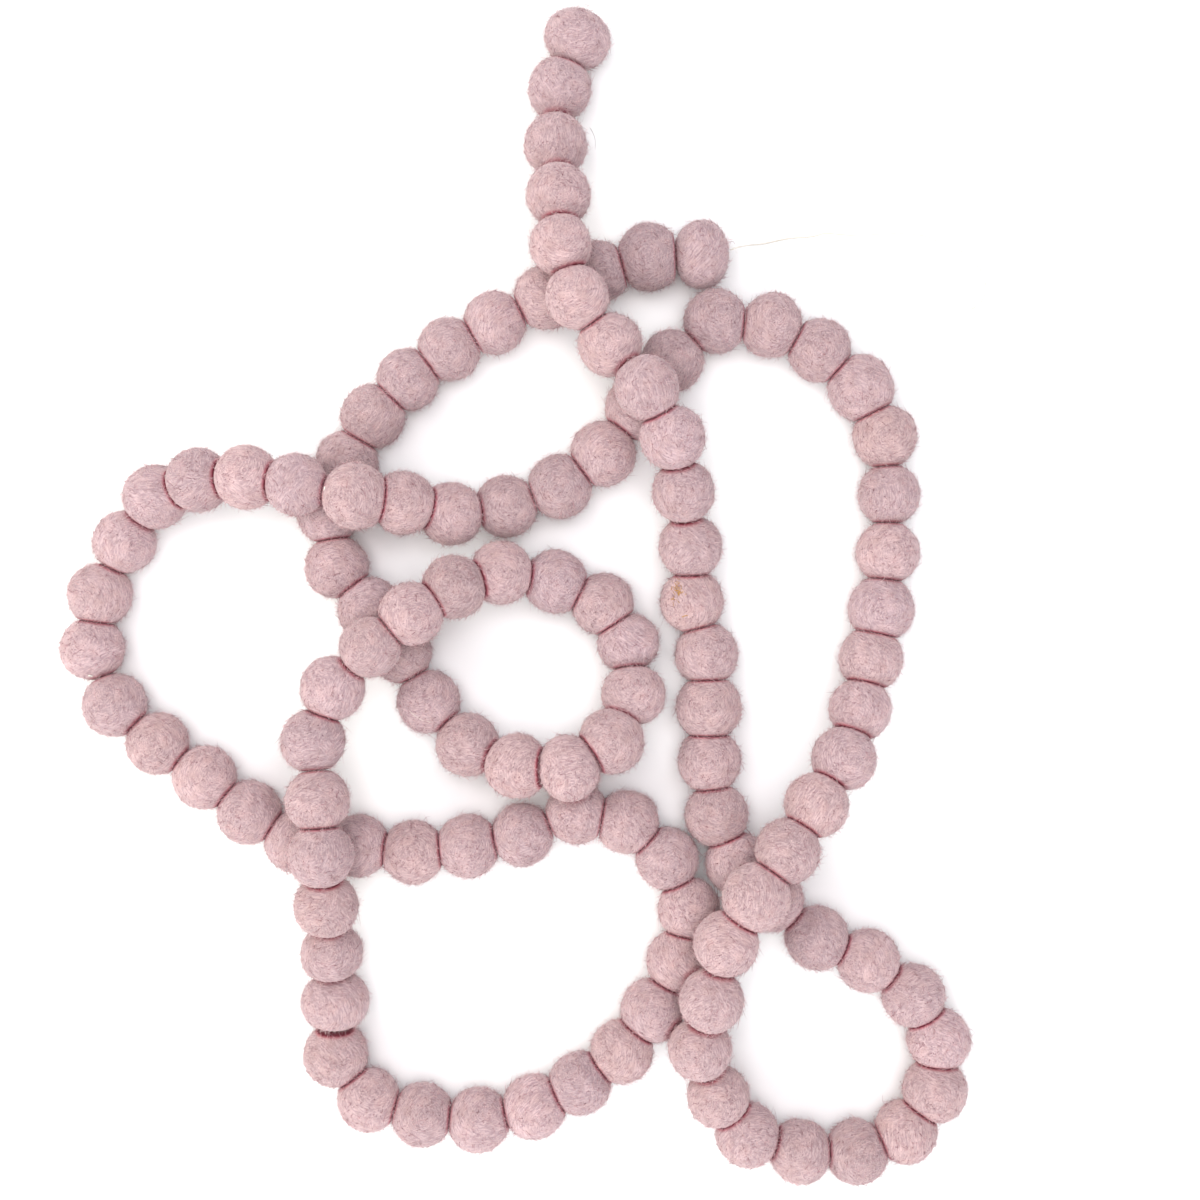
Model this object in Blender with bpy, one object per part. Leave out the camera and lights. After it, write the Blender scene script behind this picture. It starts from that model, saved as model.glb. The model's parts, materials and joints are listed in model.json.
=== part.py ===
"""Felt ball garland: 115 felted wool balls threaded on one thread, lying in loops that cross.

Run with blender --background --python part.py. Metres, +Z up, and +Y is the top of the photograph.
Ball 1 is the end at the top of the photograph, and ball 115 the end with the loose thread.
"""

import math
from collections import namedtuple

import bmesh
import bpy
from mathutils import Vector

MM = 0.001

# Where the middle of the photograph lies, with the origin under the middle of the whole garland
PICTURE_MIDDLE = Vector((27.2 * MM, -1.3 * MM, 0.0))

# The balls: 20 mm felt balls, which measure a little more across the thread than along it
BALL_COUNT = 115
BALL_WIDTH = 20.3 * MM
WIDTH_SPREAD = 0.4 * MM
WIDTH_BEAT = 2.4  # these two are radians a ball, and make neighbours differ in width
WIDTH_DRIFT = 0.7
BALLS_PER_NODE = 2
PIECE_GAP = 0.3 * MM
FLOOR_PRESS = 0.945  # height of a resting ball's middle, as a share of half its width
CROSSING_PRESS = 0.5 * MM  # how far two crossing balls dent each other
SIDE_BY_SIDE = 4.0 * MM  # balls nearer in height than this lean sideways and don't ride up

# How finely a ball is divided. Its rings run round the thread, from one contact face to the other.
RING_POINTS = 12
RING_ANGLES = (30.0, 52.5, 75.0, 105.0, 130.0)  # degrees from where the ball before touches
NECK_ANGLE = 150.0
FACET_SWELL = 1.02  # makes a faceted ball as wide on average as the round one

# The loose thread
THREAD_WIDTH = 0.5 * MM
THREAD_STEP = 1.7 * MM
THREAD_SIDES_RESOLUTION = 2

Row = namedtuple("Row", "ball x_mm y_mm")
Crossing = namedtuple("Crossing", "over rise_mm balls_up balls_down")
OddBall = namedtuple("OddBall", "ball width_mm length_share")
Tint = namedtuple("Tint", "name red green blue")
ThreadPoint = namedtuple("ThreadPoint", "x_mm y_mm z_mm")

# Where the string runs over the table, from the middle of the photograph: every ball but those that
# lie on a smooth curve between their neighbours
ROUTE = (
    # Down from the end at the top, over the last balls of the string
    Row(1, -7.3, 181.0),
    Row(2, -13.0, 164.8),
    Row(3, -14.2, 145.6),
    Row(4, -13.0, 127.9),
    Row(5, -12.3, 111.3),
    Row(6, -7.2, 94.7),
    Row(7, 3.2, 80.4),
    Row(8, 14.6, 66.1),
    Row(9, 22.8, 51.0),
    Row(11, 29.0, 17.2),
    Row(12, 29.7, -0.5),
    Row(13, 34.3, -17.5),
    Row(15, 35.3, -51.9),
    Row(16, 37.6, -69.4),
    Row(17, 44.2, -84.9),
    Row(18, 55.6, -96.9),
    # Round the loop at the lower right
    Row(19, 69.9, -109.0),
    Row(20, 86.5, -116.3),
    Row(21, 101.1, -127.6),
    Row(22, 109.4, -141.9),
    Row(23, 108.1, -158.1),
    Row(24, 98.7, -171.6),
    Row(25, 82.8, -178.1),
    Row(26, 64.7, -178.0),
    Row(27, 47.7, -172.4),
    Row(28, 37.9, -159.1),
    Row(29, 31.7, -142.6),
    Row(30, 35.0, -125.9),
    Row(31, 39.4, -107.5),
    # Up the right side and round the loop at the upper right
    Row(33, 58.8, -78.4),
    Row(34, 68.2, -64.5),
    Row(35, 77.4, -50.2),
    Row(36, 83.4, -34.9),
    Row(37, 87.2, -19.0),
    Row(38, 90.8, -2.7),
    Row(39, 92.9, 15.3),
    Row(40, 93.3, 34.0),
    Row(41, 91.9, 52.6),
    Row(42, 84.1, 68.4),
    Row(43, 70.8, 80.6),
    Row(44, 55.3, 88.6),
    Row(45, 37.3, 90.0),
    Row(46, 23.3, 77.1),
    # Across the middle to the left
    Row(47, 11.8, 61.9),
    Row(48, 1.1, 47.2),
    Row(49, -12.9, 36.7),
    Row(50, -30.2, 30.2),
    Row(51, -47.6, 27.6),
    Row(52, -62.0, 30.7),
    Row(53, -76.5, 32.5),
    Row(54, -95.2, 36.2),
    Row(55, -111.3, 38.6),
    Row(56, -127.6, 38.1),
    Row(57, -142.4, 33.1),
    Row(58, -153.4, 18.7),
    # Round the loop at the far left and back along the lower middle
    Row(59, -161.4, 1.7),
    Row(60, -163.9, -15.6),
    Row(61, -156.6, -34.0),
    Row(63, -127.6, -57.3),
    Row(65, -97.9, -78.0),
    Row(66, -78.1, -79.4),
    Row(67, -60.3, -81.4),
    Row(69, -25.1, -75.8),
    Row(70, -7.5, -68.7),
    Row(71, 8.9, -71.7),
    Row(72, 21.6, -83.5),
    # Round the loop at the bottom
    Row(73, 28.7, -99.7),
    Row(74, 25.2, -116.4),
    Row(75, 17.0, -132.2),
    Row(76, 7.0, -145.7),
    Row(77, -6.3, -155.9),
    Row(78, -21.3, -163.5),
    Row(79, -39.1, -167.8),
    Row(81, -74.6, -161.3),
    Row(82, -85.3, -146.6),
    Row(83, -84.9, -128.7),
    # Up the left side, over two strands
    Row(85, -86.3, -96.3),
    Row(87, -88.3, -62.8),
    Row(88, -90.2, -44.3),
    Row(89, -84.0, -27.7),
    Row(90, -71.7, -14.7),
    Row(91, -59.1, -4.3),
    Row(92, -46.1, 4.1),
    Row(93, -31.6, 8.7),
    Row(94, -14.4, 6.0),
    # Round the small loop in the middle
    Row(95, 0.9, -1.3),
    Row(96, 9.1, -13.8),
    Row(97, 10.8, -30.4),
    Row(98, 3.6, -44.7),
    Row(99, -9.8, -53.1),
    Row(100, -26.3, -52.7),
    Row(101, -42.5, -46.4),
    Row(102, -55.3, -32.9),
    # Back to the left and round to the end with the loose thread
    Row(103, -64.4, -16.8),
    Row(104, -74.3, -2.9),
    Row(105, -85.0, 10.7),
    Row(106, -87.6, 28.1),
    Row(107, -81.7, 44.6),
    Row(108, -73.3, 59.2),
    Row(109, -62.0, 71.2),
    Row(110, -48.7, 81.0),
    Row(111, -34.0, 89.5),
    Row(112, -17.5, 97.7),
    Row(113, -0.5, 105.9),
    Row(114, 15.7, 110.5),
    Row(115, 32.7, 111.4),
)

# Where the string rides over another stretch of itself, and how many balls it takes to climb and come down
CROSSINGS = (
    Crossing(5.5, 16.5, 4.0, 3.0),
    Crossing(8.0, 18.0, 3.0, 4.0),
    Crossing(32.0, 18.0, 5.5, 6.0),
    Crossing(53.5, 17.0, 4.0, 5.0),
    Crossing(86.5, 17.0, 4.5, 6.0),
    Crossing(90.5, 17.0, 6.0, 4.0),
    Crossing(99.0, 12.0, 3.0, 3.0),
)

# Balls that are clearly wider, narrower or flatter than the rest
ODD_BALLS = (
    OddBall(1, 21.6, 0.86),
    OddBall(5, 19.5, 1.0),
    OddBall(14, 21.2, 1.0),
    OddBall(32, 21.6, 1.0),
    OddBall(38, 21.2, 1.0),
    OddBall(42, 21.2, 1.0),
    OddBall(44, 21.0, 0.94),
    OddBall(48, 21.2, 1.0),
    OddBall(53, 21.0, 1.0),
    OddBall(54, 19.7, 1.0),
    OddBall(83, 22.1, 0.84),
    OddBall(84, 19.9, 0.92),
    OddBall(90, 19.3, 1.0),
    OddBall(96, 20.2, 0.92),
    OddBall(97, 20.8, 0.92),
    OddBall(98, 21.0, 1.0),
    OddBall(99, 21.4, 0.9),
    OddBall(114, 21.8, 0.95),
    OddBall(115, 22.1, 0.8),
)

# The loose thread, from the last ball's face to its bare end on the table
THREAD_ROUTE = (
    ThreadPoint(42.1, 113.0, 9.6),
    ThreadPoint(44.7, 114.2, 8.2),
    ThreadPoint(48.6, 115.6, 4.6),
    ThreadPoint(52.4, 116.6, 1.5),
    ThreadPoint(56.6, 117.6, 0.45),
    ThreadPoint(62.5, 118.8, 0.3),
    ThreadPoint(69.8, 119.4, 0.3),
    ThreadPoint(74.0, 120.4, 0.3),
    ThreadPoint(82.3, 119.8, 0.3),
    ThreadPoint(92.1, 120.1, 0.3),
    ThreadPoint(98.7, 120.4, 0.3),
    ThreadPoint(106.9, 119.4, 0.3),
    ThreadPoint(113.5, 116.5, 0.3),
    ThreadPoint(118.5, 114.5, 0.3),
    ThreadPoint(124.4, 109.2, 0.3),
    ThreadPoint(126.3, 105.0, 0.3),
    ThreadPoint(126.7, 101.3, 0.3),
    ThreadPoint(124.7, 97.4, 0.3),
    ThreadPoint(120.1, 94.4, 0.3),
)

# The wool's shades, which come round in turn along the string
TINTS = (
    Tint("dusty pink", 0.60, 0.43, 0.46),
    Tint("warm pink", 0.64, 0.46, 0.47),
    Tint("grey mauve", 0.52, 0.38, 0.43),
    Tint("pale pink", 0.66, 0.50, 0.52),
    Tint("deep mauve", 0.50, 0.34, 0.39),
)
FELT_ROUGHNESS = 1.0
THREAD_COLOUR = (0.80, 0.78, 0.74)
THREAD_ROUGHNESS = 0.8

Ball = namedtuple("Ball", "number middle half_width length_share")


def clear_scene():
    """Remove whatever the scene holds."""
    for old in list(bpy.data.objects):
        bpy.data.objects.remove(old, do_unlink=True)


def smooth_point(before, start, end, after, share):
    """The point at this share of the way from start to end, on a smooth curve through all four.

    Each of the four is a pair: where it stands along the curve, and the point itself.
    """
    step = end[0] - start[0]
    leave = (end[1] - before[1]) * (step / (end[0] - before[0]))
    arrive = (after[1] - start[1]) * (step / (after[0] - start[0]))
    s2, s3 = share**2, share**3
    return (
        start[1] * (2 * s3 - 3 * s2 + 1)
        + leave * (s3 - 2 * s2 + share)
        + end[1] * (3 * s2 - 2 * s3)
        + arrive * (s3 - s2)
    )


def point_on(stops, where):
    """The point of the smooth curve through stops, pairs of a place along it and a point."""
    last = len(stops) - 1
    k = max(i for i in range(last) if stops[i][0] <= where)
    share = (where - stops[k][0]) / (stops[k + 1][0] - stops[k][0])
    return smooth_point(stops[max(k - 1, 0)], stops[k], stops[k + 1], stops[min(k + 2, last)], share)


def rise_at(number):
    """How far a crossing lifts this ball off the table."""
    lifts = [0.0]
    for c in CROSSINGS:
        away = (c.over - number) / c.balls_up if number < c.over else (number - c.over) / c.balls_down
        if away < 1.0:
            lifts.append(c.rise_mm * MM * (0.5 + 0.5 * math.cos(math.pi * away)))
    return max(lifts)


def ball_width(number):
    """A ball's width across the thread: its own where it is an odd one, or near the usual width."""
    for odd in ODD_BALLS:
        if odd.ball == number:
            return odd.width_mm * MM
    return BALL_WIDTH + WIDTH_SPREAD * math.sin(WIDTH_BEAT * number) * math.cos(WIDTH_DRIFT * number)


def length_share(number):
    """A ball's length along the thread as a share of its width."""
    return next((odd.length_share for odd in ODD_BALLS if odd.ball == number), 1.0)


def lay_balls():
    """Every ball at its place: along the route, and on the table or on the strand that it crosses."""
    stops = [(row.ball, Vector((row.x_mm, row.y_mm, 0.0)) * MM + PICTURE_MIDDLE) for row in ROUTE]
    balls = []
    for number in range(1, BALL_COUNT + 1):
        middle = point_on(stops, number)
        half_width = ball_width(number) / 2
        middle.z = half_width * FLOOR_PRESS + rise_at(number)
        balls.append(Ball(number, middle, half_width, length_share(number)))
    for upper in balls:
        for lower in balls:
            if abs(upper.number - lower.number) > 1:
                ride_up(upper, lower)
    return balls


def ride_up(upper, lower):
    """Raise the upper ball where the two would be pressed together by more than felt gives."""
    reach = upper.half_width + lower.half_width - CROSSING_PRESS
    apart = (upper.middle.xy - lower.middle.xy).length
    if apart < reach and upper.middle.z - lower.middle.z > SIDE_BY_SIDE:
        upper.middle.z = max(upper.middle.z, lower.middle.z + math.sqrt(reach**2 - apart**2))


def contact_faces(ball, balls, partner):
    """The flat faces where other balls press on this one, as a direction and a distance from its middle.

    The partner in the same node is left out, because the two are one solid there.
    """
    faces = [(Vector((0, 0, -1)), ball.middle.z)]
    for other in balls:
        if other is ball or other is partner:
            continue
        towards = other.middle - ball.middle
        apart = towards.length
        if apart < (ball.half_width + other.half_width) * FACET_SWELL + PIECE_GAP:
            faces.append((towards.normalized(), face_distance(ball, other) - PIECE_GAP / 2))
    return faces


def face_distance(ball, other):
    """How far from its middle a ball meets another: half way, or nearer the smaller of the two."""
    apart = (other.middle - ball.middle).length
    return apart / 2 + (ball.half_width**2 - other.half_width**2) / (2 * apart)


def thread_directions(ball, balls):
    """Directions from a ball to the one before it and the one after it. An end ball goes straight on."""
    k = ball.number - 1
    back = (balls[k - 1].middle - ball.middle).normalized() if k > 0 else None
    onward = (balls[k + 1].middle - ball.middle).normalized() if k + 1 < len(balls) else None
    return back or -onward, onward or -back


def surface_point(ball, back, onward, angle, turn, faces):
    """A point of a ball's surface.

    angle runs from 0, where the ball before touches, to 180, where the next one does, so that the rings
    follow the string round a bend. turn goes round the thread.
    """
    axis = back.slerp(-onward, angle / 180.0)
    side = axis.cross(Vector((0, 0, 1))).normalized()
    top = side.cross(axis)
    tilt = math.radians(angle)
    way = axis * math.cos(tilt) + (side * math.cos(turn) + top * math.sin(turn)) * math.sin(tilt)
    middle_axis = (back - onward).normalized()
    along = way.dot(middle_axis) / ball.length_share
    across = 1.0 - way.dot(middle_axis) ** 2
    distance = ball.half_width * FACET_SWELL / math.sqrt(along**2 + across)
    for towards, limit in faces:
        share = way.dot(towards)
        if share > 0:
            distance = min(distance, limit / share)
    return ball.middle + way * distance


def ring_turns():
    """Angles of a ring's points round the thread, with two of them level at the bottom."""
    step = 2 * math.pi / RING_POINTS
    return [step * (k + 0.5) for k in range(RING_POINTS)]


def rings_of(ball, balls, partner, angles, faces=()):
    """A ball's rings at these angles. faces are more that it is cut by than those of contact_faces."""
    back, onward = thread_directions(ball, balls)
    faces = [*contact_faces(ball, balls, partner), *faces]
    return [[surface_point(ball, back, onward, angle, turn, faces) for turn in ring_turns()] for angle in angles]


def pole_of(ball, balls, partner, angle):
    """The middle of the face where a ball meets the next node, or the end of an end ball."""
    back, onward = thread_directions(ball, balls)
    return surface_point(ball, back, onward, angle, 0.0, contact_faces(ball, balls, partner))


def pair_points(first, second, balls):
    """The two poles and all rings of a pair of balls that are one solid, in order along the string."""
    _, onward = thread_directions(first, balls)
    neck_face = (onward, face_distance(first, second))
    second_angles = [180.0 - angle for angle in reversed(RING_ANGLES)]
    rings = [
        *rings_of(first, balls, second, RING_ANGLES),
        *rings_of(first, balls, second, (NECK_ANGLE,), (neck_face,)),
        *rings_of(second, balls, first, second_angles),
    ]
    return pole_of(first, balls, second, 0.0), rings, pole_of(second, balls, first, 180.0)


def lone_points(ball, balls):
    """The two poles and the rings of a ball that is a node by itself."""
    rings = rings_of(ball, balls, None, (*RING_ANGLES, NECK_ANGLE))
    return pole_of(ball, balls, None, 0.0), rings, pole_of(ball, balls, None, 180.0)


def felt_material(number):
    """Matt felted wool in one of the shades, for the node whose first ball has this number."""
    tint = TINTS[(number // BALLS_PER_NODE) % len(TINTS)]
    material = bpy.data.materials.new(f"felted wool, {tint.name}, {number:03d}")
    material.use_nodes = True
    shader = material.node_tree.nodes["Principled BSDF"]
    shader.inputs["Base Color"].default_value = (tint.red, tint.green, tint.blue, 1.0)
    shader.inputs["Roughness"].default_value = FELT_ROUGHNESS
    shader.inputs["Metallic"].default_value = 0.0
    return material


def thread_material():
    """Off-white cotton thread."""
    material = bpy.data.materials.new("cotton thread, off-white")
    material.use_nodes = True
    shader = material.node_tree.nodes["Principled BSDF"]
    shader.inputs["Base Color"].default_value = (*THREAD_COLOUR, 1.0)
    shader.inputs["Roughness"].default_value = THREAD_ROUGHNESS
    shader.inputs["Metallic"].default_value = 0.0
    return material


def ball_mesh(name, near_pole, rings, far_pole):
    """A closed mesh with these rings: a UV sphere whose points are moved to them."""
    bm = bmesh.new()
    bmesh.ops.create_uvsphere(bm, u_segments=RING_POINTS, v_segments=len(rings) + 1, radius=1.0)
    bm.verts.ensure_lookup_table()
    for vertex in bm.verts:
        level = round(math.degrees(math.acos(max(-1.0, min(1.0, vertex.co.z)))) / 180 * (len(rings) + 1))
        if level == 0:
            vertex.co = near_pole
        elif level == len(rings) + 1:
            vertex.co = far_pole
        else:
            turn = math.atan2(vertex.co.y, vertex.co.x) % (2 * math.pi)
            vertex.co = rings[level - 1][round(turn / (2 * math.pi) * RING_POINTS) % RING_POINTS]
    bm.normal_update()
    bmesh.ops.recalc_face_normals(bm, faces=bm.faces)
    for face in bm.faces:
        face.smooth = True
    mesh = bpy.data.meshes.new(name)
    bm.to_mesh(mesh)
    bm.free()
    return mesh


def build_balls(balls, collection):
    """The balls in their nodes, two by two along the string."""
    for k in range(0, BALL_COUNT, BALLS_PER_NODE):
        members = balls[k : k + BALLS_PER_NODE]
        if len(members) == BALLS_PER_NODE:
            name = f"balls_{members[0].number:03d}_{members[1].number:03d}"
            near_pole, rings, far_pole = pair_points(*members, balls)
        else:
            name = f"ball_{members[0].number:03d}"
            near_pole, rings, far_pole = lone_points(members[0], balls)
        place = members[0].middle
        rings = [[point - place for point in ring] for ring in rings]
        mesh = ball_mesh(name, near_pole - place, rings, far_pole - place)
        mesh.materials.append(felt_material(members[0].number))
        obj = bpy.data.objects.new(name, mesh)
        obj.location = place
        collection.objects.link(obj)


def build_thread(collection):
    """The loose thread at the last ball, a tube along a smooth curve through its route."""
    route = [Vector((p.x_mm, p.y_mm, p.z_mm)) * MM + PICTURE_MIDDLE for p in THREAD_ROUTE]
    stops = [(0.0, route[0])]
    for point in route[1:]:
        stops.append((stops[-1][0] + (point - stops[-1][1]).length, point))
    steps = round(stops[-1][0] / THREAD_STEP)
    points = [point_on(stops, stops[-1][0] * k / steps) for k in range(steps + 1)]
    curve = bpy.data.curves.new("thread_tail", "CURVE")
    curve.dimensions = "3D"
    curve.bevel_depth = THREAD_WIDTH / 2
    curve.bevel_resolution = THREAD_SIDES_RESOLUTION
    curve.use_fill_caps = True
    spline = curve.splines.new("POLY")
    spline.points.add(len(points) - 1)
    for slot, point in zip(spline.points, points, strict=True):
        slot.co = (*point, 1.0)
    curve.materials.append(thread_material())
    collection.objects.link(bpy.data.objects.new("thread_tail", curve))


def main():
    clear_scene()
    collection = bpy.data.collections.new("felt ball garland")
    bpy.context.scene.collection.children.link(collection)
    balls = lay_balls()
    build_balls(balls, collection)
    build_thread(collection)


main()
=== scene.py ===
"""The finish of a felt ball garland: every ball, its loose fibres and the thread, on a white table.

Metres, +Z up, and +Y is the top of the photograph. Balls are counted along the string, from the end at
the top of the photograph, and the tables of their places are those of the part's source.
"""

import json
import logging
import math
from collections.abc import Iterable, Sequence
from dataclasses import dataclass, field
from enum import Enum
from typing import NamedTuple

import bpy
import numpy as np
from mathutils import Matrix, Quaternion, Vector


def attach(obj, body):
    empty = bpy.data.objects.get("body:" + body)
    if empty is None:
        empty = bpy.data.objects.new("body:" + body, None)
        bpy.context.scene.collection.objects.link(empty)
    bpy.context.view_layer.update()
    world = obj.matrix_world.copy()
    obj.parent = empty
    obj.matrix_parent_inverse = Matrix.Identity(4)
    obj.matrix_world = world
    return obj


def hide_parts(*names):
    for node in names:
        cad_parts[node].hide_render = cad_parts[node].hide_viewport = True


MM = 0.001
BODY = "root"

# Where the middle of the photograph lies, with the origin under the middle of the whole garland
PICTURE_MIDDLE = Vector((27.2 * MM, -1.3 * MM, 0.0))

# Where the counts of chance start, so that turns, tints and fibres are drawn apart from each other
TURN_SEED, TINT_SEED, FIBRE_SEED = 1000, 2000, 3000

Node = bpy.types.Node
Tree = bpy.types.NodeTree
Material = bpy.types.Material
Object = bpy.types.Object
Stop = tuple[float, Vector]  # how far along a curve, and the point there
Face = tuple[int, ...]  # the numbers of its points

log = logging.getLogger("garland")

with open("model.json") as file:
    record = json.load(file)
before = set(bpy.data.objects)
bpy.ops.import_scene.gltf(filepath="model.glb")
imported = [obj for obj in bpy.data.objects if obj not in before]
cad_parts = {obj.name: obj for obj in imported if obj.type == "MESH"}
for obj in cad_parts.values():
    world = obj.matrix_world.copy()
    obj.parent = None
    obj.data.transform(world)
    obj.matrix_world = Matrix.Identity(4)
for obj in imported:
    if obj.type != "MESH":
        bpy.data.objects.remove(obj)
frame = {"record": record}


class Wool(Enum):
    """The wools and threads of the loose fibres, as the hex colour of each."""

    # paler than the felt: painted light that passes through the thin fibres
    PALE = "#E6C9CA"
    PINK = "#C9A0A5"
    DEEP = "#935F69"
    STRAW = "#C4923A"
    DARK = "#4A3A3E"
    WHITE = "#EFEAE2"


class Row(NamedTuple):
    """A ball's place on the table, from the middle of the photograph."""

    ball: int
    x_mm: float
    y_mm: float


class Crossing(NamedTuple):
    """Where the string rides over another stretch of itself, and how many balls it takes to climb."""

    over: float
    rise_mm: float
    balls_up: float
    balls_down: float


class OddBall(NamedTuple):
    """A ball that is clearly wider, narrower or flatter than the rest."""

    ball: int
    width_mm: float
    length_share: float


class ThreadPoint(NamedTuple):
    """A point of the loose thread, from the middle of the photograph."""

    x_mm: float
    y_mm: float
    z_mm: float


class Dent(NamedTuple):
    """A small pit in a ball, right of and above its middle as the photograph shows it."""

    ball: int
    right_mm: float
    up_mm: float
    radius_mm: float
    depth_mm: float


class Span(NamedTuple):
    """A range of a value, and what its two ends become."""

    low: float
    high: float
    to_low: float = 0.0
    to_high: float = 1.0

    def ends(self) -> dict[str, float]:
        """Give the ends by the names that a Map Range node has for them."""
        return dict(zip(("From Min", "From Max", "To Min", "To Max"), self, strict=True))


class Tone(NamedTuple):
    """How much lighter and warmer than the usual wool a ball is, as shares."""

    ball: int
    lighter: float
    warmer: float


class Hair(NamedTuple):
    """A hair on a ball: its two ends, right of and above the ball's middle as the photograph shows it."""

    ball: int
    wool: Wool
    right_mm: float
    up_mm: float
    to_right_mm: float
    to_up_mm: float
    bow_mm: float
    width_mm: float


ROUTE = (
    # Down from the end at the top, over the last balls of the string
    Row(1, -7.3, 181.0),
    Row(2, -13.0, 164.8),
    Row(3, -14.2, 145.6),
    Row(4, -13.0, 127.9),
    Row(5, -12.3, 111.3),
    Row(6, -7.2, 94.7),
    Row(7, 3.2, 80.4),
    Row(8, 14.6, 66.1),
    Row(9, 22.8, 51.0),
    Row(11, 29.0, 17.2),
    Row(12, 29.7, -0.5),
    Row(13, 34.3, -17.5),
    Row(15, 35.3, -51.9),
    Row(16, 37.6, -69.4),
    Row(17, 44.2, -84.9),
    Row(18, 55.6, -96.9),
    # Round the loop at the lower right
    Row(19, 69.9, -109.0),
    Row(20, 86.5, -116.3),
    Row(21, 101.1, -127.6),
    Row(22, 109.4, -141.9),
    Row(23, 108.1, -158.1),
    Row(24, 98.7, -171.6),
    Row(25, 82.8, -178.1),
    Row(26, 64.7, -178.0),
    Row(27, 47.7, -172.4),
    Row(28, 37.9, -159.1),
    Row(29, 31.7, -142.6),
    Row(30, 35.0, -125.9),
    Row(31, 39.4, -107.5),
    # Up the right side and round the loop at the upper right
    Row(33, 58.8, -78.4),
    Row(34, 68.2, -64.5),
    Row(35, 77.4, -50.2),
    Row(36, 83.4, -34.9),
    Row(37, 87.2, -19.0),
    Row(38, 90.8, -2.7),
    Row(39, 92.9, 15.3),
    Row(40, 93.3, 34.0),
    Row(41, 91.9, 52.6),
    Row(42, 84.1, 68.4),
    Row(43, 70.8, 80.6),
    Row(44, 55.3, 88.6),
    Row(45, 37.3, 90.0),
    Row(46, 23.3, 77.1),
    # Across the middle to the left
    Row(47, 11.8, 61.9),
    Row(48, 1.1, 47.2),
    Row(49, -12.9, 36.7),
    Row(50, -30.2, 30.2),
    Row(51, -47.6, 27.6),
    Row(52, -62.0, 30.7),
    Row(53, -76.5, 32.5),
    Row(54, -95.2, 36.2),
    Row(55, -111.3, 38.6),
    Row(56, -127.6, 38.1),
    Row(57, -142.4, 33.1),
    Row(58, -153.4, 18.7),
    # Round the loop at the far left and back along the lower middle
    Row(59, -161.4, 1.7),
    Row(60, -163.9, -15.6),
    Row(61, -156.6, -34.0),
    Row(63, -127.6, -57.3),
    Row(65, -97.9, -78.0),
    Row(66, -78.1, -79.4),
    Row(67, -60.3, -81.4),
    Row(69, -25.1, -75.8),
    Row(70, -7.5, -68.7),
    Row(71, 8.9, -71.7),
    Row(72, 21.6, -83.5),
    # Round the loop at the bottom
    Row(73, 28.7, -99.7),
    Row(74, 25.2, -116.4),
    Row(75, 17.0, -132.2),
    Row(76, 7.0, -145.7),
    Row(77, -6.3, -155.9),
    Row(78, -21.3, -163.5),
    Row(79, -39.1, -167.8),
    Row(81, -74.6, -161.3),
    Row(82, -85.3, -146.6),
    Row(83, -84.9, -128.7),
    # Up the left side, over two strands
    Row(85, -86.3, -96.3),
    Row(87, -88.3, -62.8),
    Row(88, -90.2, -44.3),
    Row(89, -84.0, -27.7),
    Row(90, -71.7, -14.7),
    Row(91, -59.1, -4.3),
    Row(92, -46.1, 4.1),
    Row(93, -31.6, 8.7),
    Row(94, -14.4, 6.0),
    # Round the small loop in the middle
    Row(95, 0.9, -1.3),
    Row(96, 9.1, -13.8),
    Row(97, 10.8, -30.4),
    Row(98, 3.6, -44.7),
    Row(99, -9.8, -53.1),
    Row(100, -26.3, -52.7),
    Row(101, -42.5, -46.4),
    Row(102, -55.3, -32.9),
    # Back to the left and round to the end with the loose thread
    Row(103, -64.4, -16.8),
    Row(104, -74.3, -2.9),
    Row(105, -85.0, 10.7),
    Row(106, -87.6, 28.1),
    Row(107, -81.7, 44.6),
    Row(108, -73.3, 59.2),
    Row(109, -62.0, 71.2),
    Row(110, -48.7, 81.0),
    Row(111, -34.0, 89.5),
    Row(112, -17.5, 97.7),
    Row(113, -0.5, 105.9),
    Row(114, 15.7, 110.5),
    Row(115, 32.7, 111.4),
)

CROSSINGS = (
    Crossing(5.5, 16.5, 4.0, 3.0),
    Crossing(8.0, 18.0, 3.0, 4.0),
    Crossing(32.0, 18.0, 5.5, 6.0),
    Crossing(53.5, 17.0, 4.0, 5.0),
    Crossing(86.5, 17.0, 4.5, 6.0),
    Crossing(90.5, 17.0, 6.0, 4.0),
    Crossing(99.0, 12.0, 3.0, 3.0),
)

ODD_BALLS = (
    OddBall(1, 21.6, 0.86),
    OddBall(5, 19.5, 1.0),
    OddBall(14, 21.2, 1.0),
    OddBall(32, 21.6, 1.0),
    OddBall(38, 21.2, 1.0),
    OddBall(42, 21.2, 1.0),
    OddBall(44, 21.0, 0.94),
    OddBall(48, 21.2, 1.0),
    OddBall(53, 21.0, 1.0),
    OddBall(54, 19.7, 1.0),
    OddBall(83, 22.1, 0.84),
    OddBall(84, 19.9, 0.92),
    OddBall(90, 19.3, 1.0),
    OddBall(96, 20.2, 0.92),
    OddBall(97, 20.8, 0.92),
    OddBall(98, 21.0, 1.0),
    OddBall(99, 21.4, 0.9),
    OddBall(114, 21.8, 0.95),
    OddBall(115, 22.1, 0.8),
)

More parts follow.
